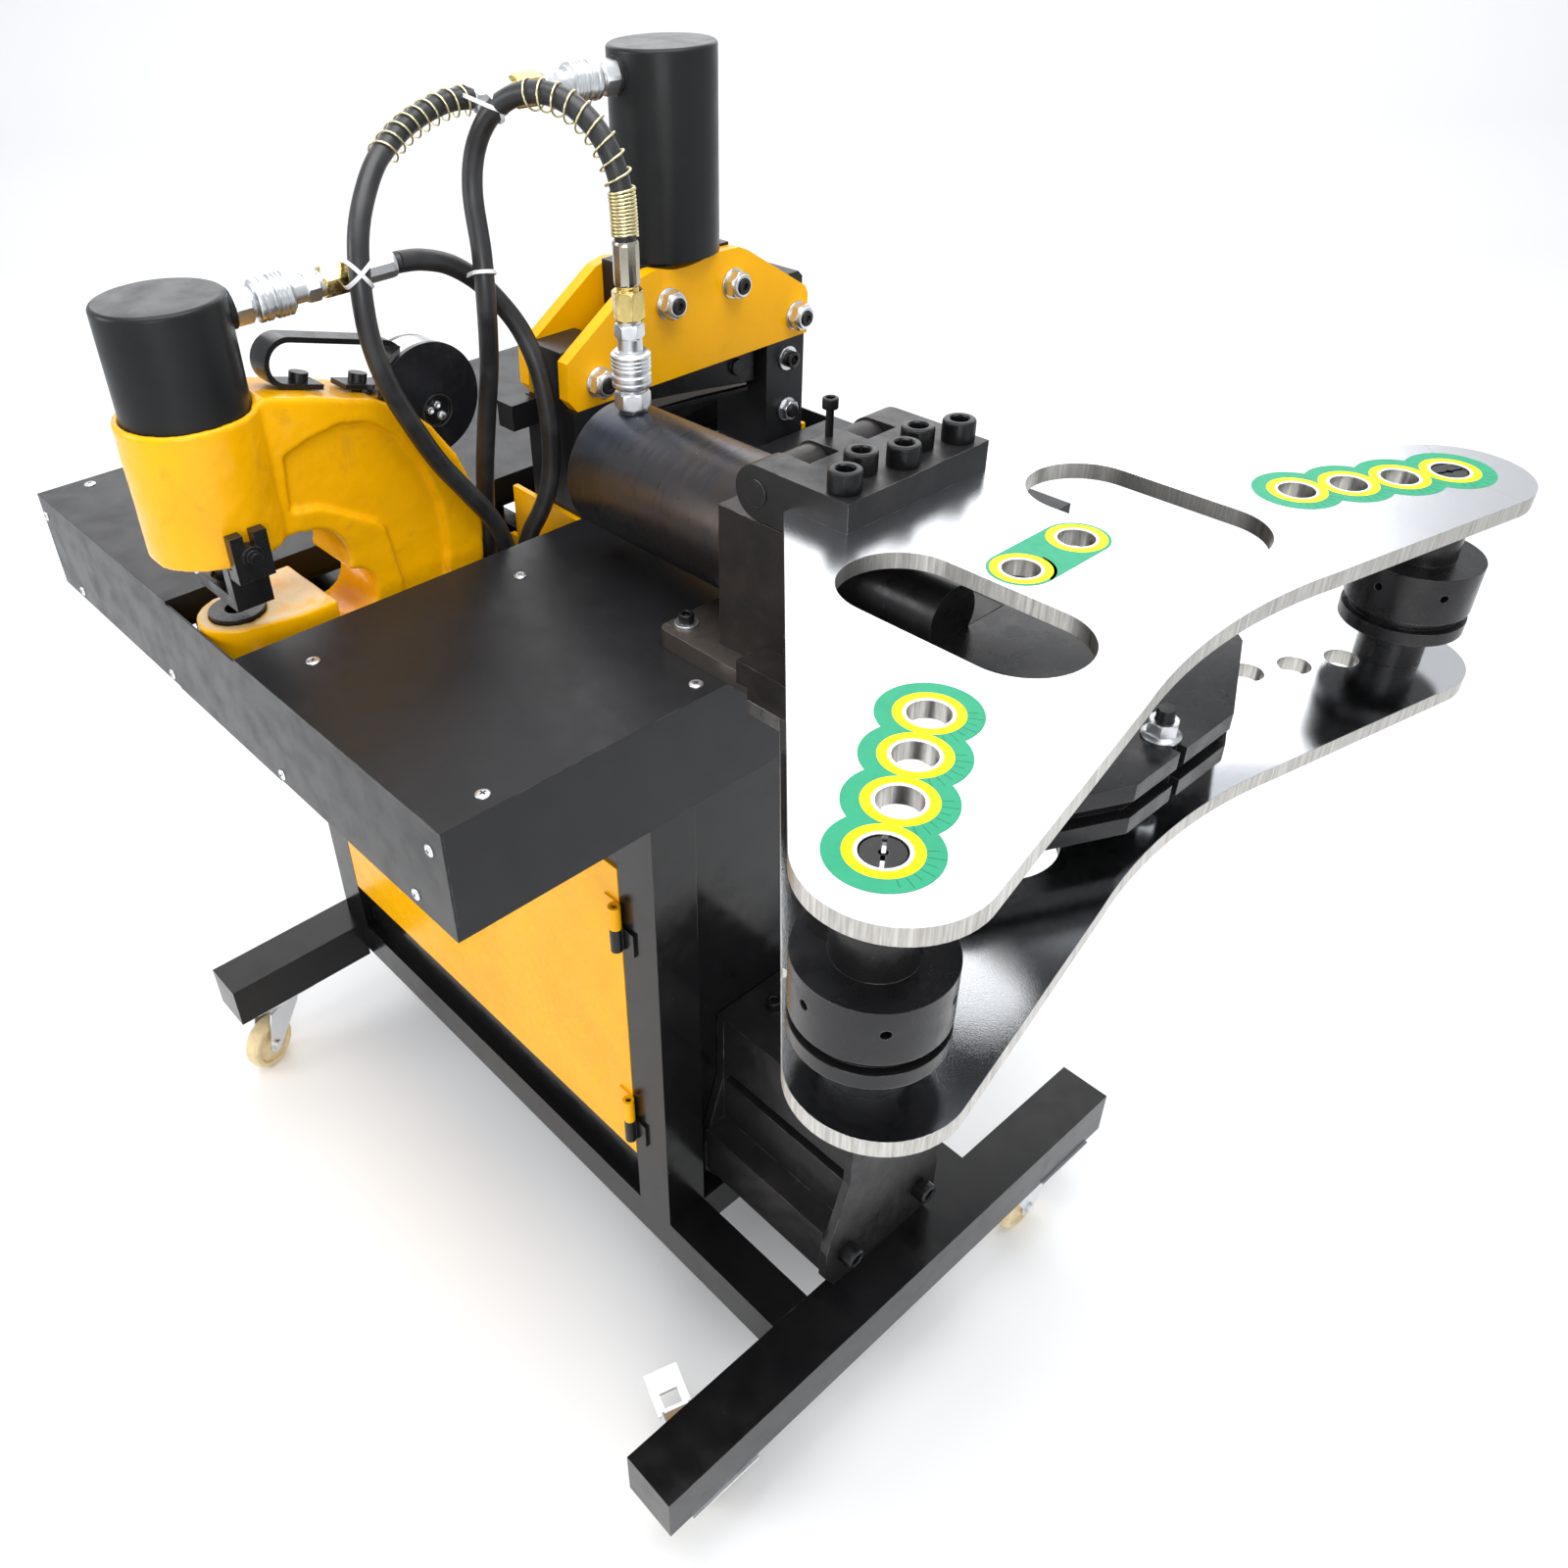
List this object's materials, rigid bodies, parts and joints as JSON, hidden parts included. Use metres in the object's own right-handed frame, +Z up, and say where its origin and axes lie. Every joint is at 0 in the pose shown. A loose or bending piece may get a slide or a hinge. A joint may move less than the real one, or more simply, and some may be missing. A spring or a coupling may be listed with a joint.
{
  "type": "rebar bender",
  "caption": "Wheeled hydraulic work bench with a hinged two-plate wing bender, a C-frame punch and a bar cutter fed by flexible hoses.",
  "frame": {"origin": "centre of the footprint on the floor", "axes": "+X towards the bender's wings, +Y from the punch to the cutter, +Z up"},
  "size_m": [1.1408, 0.7427, 1.2514],
  "materials": {
    "black_paint": "satin",
    "yellow_paint": "gloss",
    "zinc": "bright",
    "nylon": "satin",
    "dark_steel": "black oxide",
    "bright_steel": "ground",
    "brass": "satin",
    "hose_rubber": "matte",
    "white_nylon": "satin",
    "gloss_black": "gloss",
    "grey_paint": "satin"
  },
  "bodies": {
    "base": {"foot_tubes": "black_paint", "base_frame": "black_paint", "cabinet_frame": "black_paint", "cabinet_panels": "gloss_black", "door_hinge_lower": "black_paint", "table_top_sheets": "black_paint", "table_side_aprons": "black_paint", "table_frame": "black_paint", "table_screws": "zinc", "tool_shelf": "black_paint", "slot_gussets": "yellow_paint", "caster_plates": "zinc", "bender_cylinder": "dark_steel", "head_block": "dark_steel", "mount_bar": "dark_steel", "black_screws": "dark_steel", "foot_plate": "dark_steel", "hinge_pin": "dark_steel", "bottom_wing": "bright_steel", "roller_pins": "dark_steel", "lower_bracket": "dark_steel", "punch_frame": "yellow_paint", "punch_cylinder": "dark_steel", "punch_die": "dark_steel", "stripper_fork": "dark_steel", "carry_strap": "dark_steel", "oil_canister": "gloss_black", "cutter_plates": "yellow_paint", "cutter_columns": "dark_steel", "cutter_cylinder": "dark_steel", "cutter_fasteners": "zinc", "quick_couplers": "zinc", "hose_adapters": "brass", "hose_bender": "hose_rubber", "hose_cutter": "hose_rubber", "hose_punch": "hose_rubber", "spring_guards": "brass", "cable_ties": "white_nylon", "pump_unit": "grey_paint"},
    "door": {"door_panel": "yellow_paint"},
    "wing": {"hinge_leaf": "dark_steel", "leaf_screws": "dark_steel", "top_wing": "bright_steel"},
    "bender_ram": {"ram": "bright_steel", "former": "dark_steel", "former_bolt": "zinc"},
    "near_roller": {"roller_near": "dark_steel"},
    "far_roller": {"roller_far": "dark_steel"},
    "punch_slide": {"punch_ram": "bright_steel"},
    "cutter_slide": {"cutter_crosshead": "bright_steel"},
    "castor_front_near": {"fork_front_near": "zinc"},
    "wheel_front_near": {"wheel_front_near": "nylon"},
    "pedal_near": {"pedal_near": "zinc"},
    "castor_front_far": {"fork_front_far": "zinc"},
    "wheel_front_far": {"wheel_front_far": "nylon"},
    "pedal_far": {"pedal_far": "zinc"},
    "castor_rear_near": {"fork_rear_near": "zinc"},
    "wheel_rear_near": {"wheel_rear_near": "nylon"},
    "castor_rear_far": {"fork_rear_far": "zinc"},
    "wheel_rear_far": {"wheel_rear_far": "nylon"}
  },
  "joints": [
    {"name": "door_hinge", "type": "hinge", "parent": "base", "child": "door", "pos_m": [0.1, -0.1583, 0.45], "axis": [0, 0, 1], "range_deg": [0, 110]},
    {"name": "upper_wing_hinge", "type": "hinge", "parent": "base", "child": "wing", "pos_m": [0.1935, 0, 1.0199], "axis": [0, -1, 0], "range_deg": [0, 95]},
    {"name": "bender_ram_slide", "type": "slide", "parent": "base", "child": "bender_ram", "axis": [1, 0, 0], "range_m": [-0.09, 0.06]},
    {"name": "near_roller_spin", "type": "hinge", "parent": "base", "child": "near_roller", "pos_m": [0.5135, -0.3026, 0.94], "axis": [0, 0, 1], "continuous": true},
    {"name": "far_roller_spin", "type": "hinge", "parent": "base", "child": "far_roller", "pos_m": [0.5135, 0.3026, 0.94], "axis": [0, 0, 1], "continuous": true},
    {"name": "punch_stroke", "type": "slide", "parent": "base", "child": "punch_slide", "axis": [0, 0, -1], "range_m": [0, 0.022], "stiffness_N_per_m": 4000, "springref_m": -0.02},
    {"name": "cutter_stroke", "type": "slide", "parent": "base", "child": "cutter_slide", "axis": [0, 0, -1], "range_m": [0, 0.034], "stiffness_N_per_m": 3000, "springref_m": -0.05},
    {"name": "front_near_swivel", "type": "hinge", "parent": "base", "child": "castor_front_near", "pos_m": [0.3384, -0.275, 0.09], "axis": [0, 0, 1], "continuous": true},
    {"name": "front_near_wheel_spin", "type": "hinge", "parent": "castor_front_near", "child": "wheel_front_near", "pos_m": [0.30206, -0.26389, 0.0375], "axis": [-0.2924, -0.9563, 0], "continuous": true},
    {"name": "front_near_pedal", "type": "hinge", "parent": "castor_front_near", "child": "pedal_near", "pos_m": [0.28293, -0.25804, 0.078], "axis": [-0.2924, -0.9563, 0], "range_deg": [-3, 12]},
    {"name": "front_far_swivel", "type": "hinge", "parent": "base", "child": "castor_front_far", "pos_m": [0.3384, 0.275, 0.09], "axis": [0, 0, 1], "continuous": true},
    {"name": "front_far_wheel_spin", "type": "hinge", "parent": "castor_front_far", "child": "wheel_front_far", "pos_m": [0.33973, 0.23702, 0.0375], "axis": [0.9994, 0.0349, 0], "continuous": true},
    {"name": "front_far_pedal", "type": "hinge", "parent": "castor_front_far", "child": "pedal_far", "pos_m": [0.34042, 0.21704, 0.078], "axis": [0.9994, 0.0349, 0], "range_deg": [-3, 12]},
    {"name": "rear_near_swivel", "type": "hinge", "parent": "base", "child": "castor_rear_near", "pos_m": [-0.5287, -0.283, 0.09], "axis": [0, 0, 1], "continuous": true},
    {"name": "rear_near_wheel_spin", "type": "hinge", "parent": "castor_rear_near", "child": "wheel_rear_near", "pos_m": [-0.51446, -0.31823, 0.0375], "axis": [0.9272, 0.3746, 0], "continuous": true},
    {"name": "rear_far_swivel", "type": "hinge", "parent": "base", "child": "castor_rear_far", "pos_m": [-0.5287, 0.283, 0.09], "axis": [0, 0, 1], "continuous": true},
    {"name": "rear_far_wheel_spin", "type": "hinge", "parent": "castor_rear_far", "child": "wheel_rear_far", "pos_m": [-0.49959, 0.30743, 0.0375], "axis": [-0.6428, 0.766, 0], "continuous": true}
  ]
}
